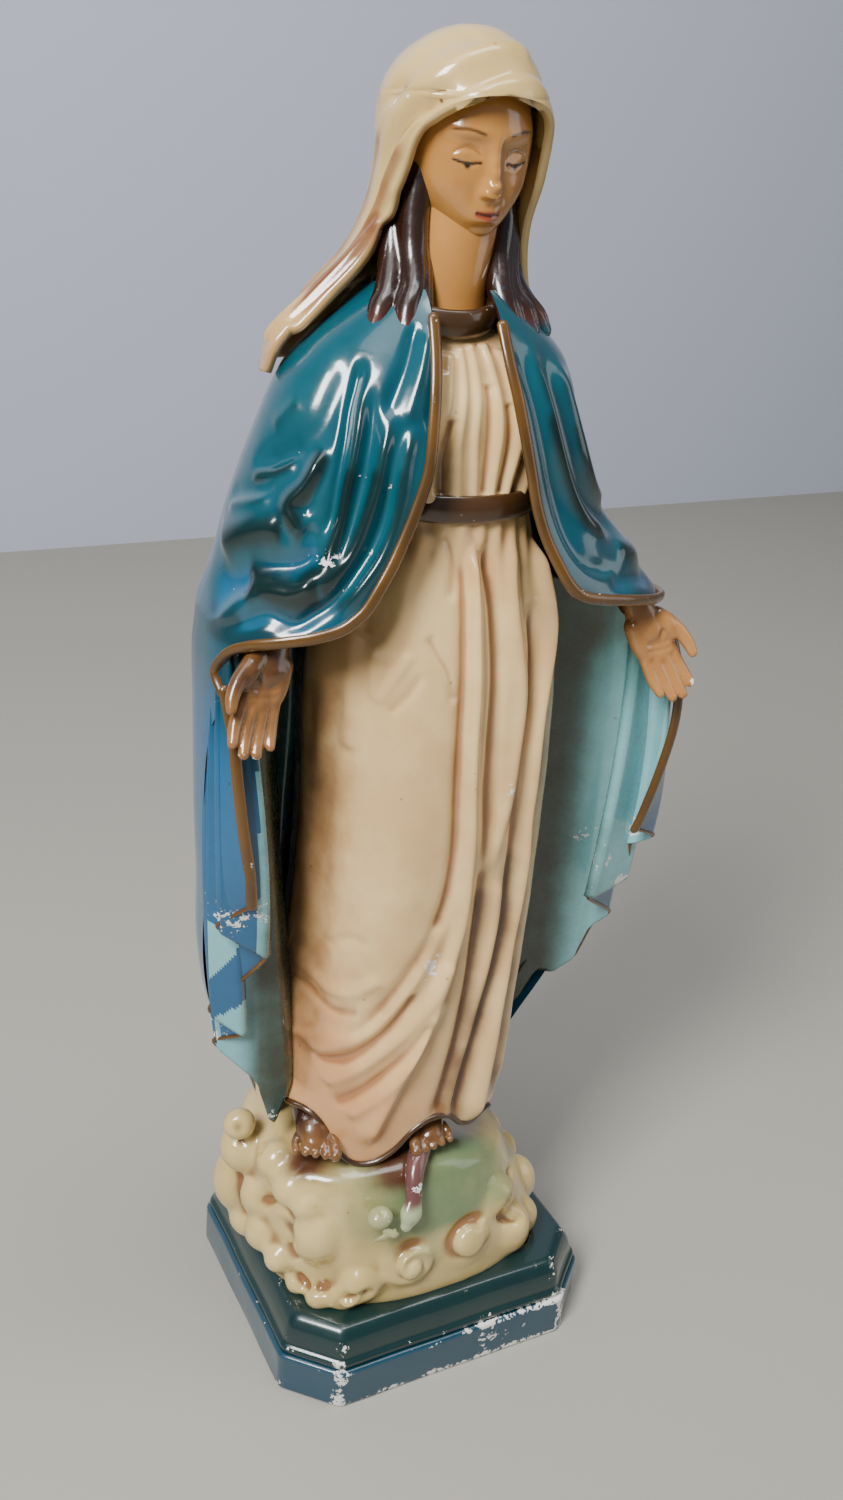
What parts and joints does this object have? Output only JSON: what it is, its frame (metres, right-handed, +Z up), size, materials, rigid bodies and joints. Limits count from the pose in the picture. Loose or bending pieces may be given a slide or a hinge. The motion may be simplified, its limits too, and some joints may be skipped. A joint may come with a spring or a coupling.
{
  "type": "madonna statue",
  "caption": "Standing veiled figure in a long gown and open mantle, hands lowered, on a cloud mound with a serpent, on an octagonal plinth.",
  "frame": {"origin": "centre of the plinth's resting face", "axes": "+Z up, -Y the way the figure faces, +X towards the figure's left hand"},
  "size_m": [0.1936, 0.13, 0.499],
  "materials": {
    "teal_dark": "gloss oil paint on plaster, chipped to white at the edges",
    "cloud_cream": "gloss cream paint with green and brown washes",
    "gown_cream": "gloss cream paint with an orange-brown wash in the folds",
    "old_gold": "worn bronze-gold paint",
    "mantle_teal": "gloss teal paint, darker in the folds, chipped at the edges",
    "lining_turquoise": "gloss turquoise paint, shaded dark towards the gown",
    "skin": "satin ochre flesh paint",
    "hair_brown": "satin dark brown paint",
    "veil_ivory": "gloss ivory paint with a brown wash in the folds",
    "serpent_brown": "gloss purple-brown paint, pale green head",
    "apple_green": "gloss pale green paint",
    "wire": "plain iron wire, embedded"
  },
  "bodies": {
    "root": {"plinth_band": "teal_dark", "plinth_moulding": "teal_dark", "cloud_mound": "cloud_cream", "gown_skirt": "gown_cream", "gown_bodice": "gown_cream", "belt": "old_gold", "hem_trim": "old_gold", "neckline_band": "old_gold", "right_arm": "gown_cream", "left_arm": "gown_cream", "right_wrist_wire": "wire", "left_wrist_wire": "wire", "right_hand": "skin", "left_hand": "skin", "right_foot": "skin", "left_foot": "skin", "mantle": "mantle_teal", "mantle_lining": "lining_turquoise", "right_mantle_trim": "old_gold", "left_mantle_trim": "old_gold", "right_edge_trim": "old_gold", "left_edge_trim": "old_gold", "neck": "skin", "head": "skin", "right_hair": "hair_brown", "left_hair": "hair_brown", "veil": "veil_ivory", "serpent": "serpent_brown", "apple": "apple_green", "apple_leaf": "apple_green"}
  },
  "joints": []
}
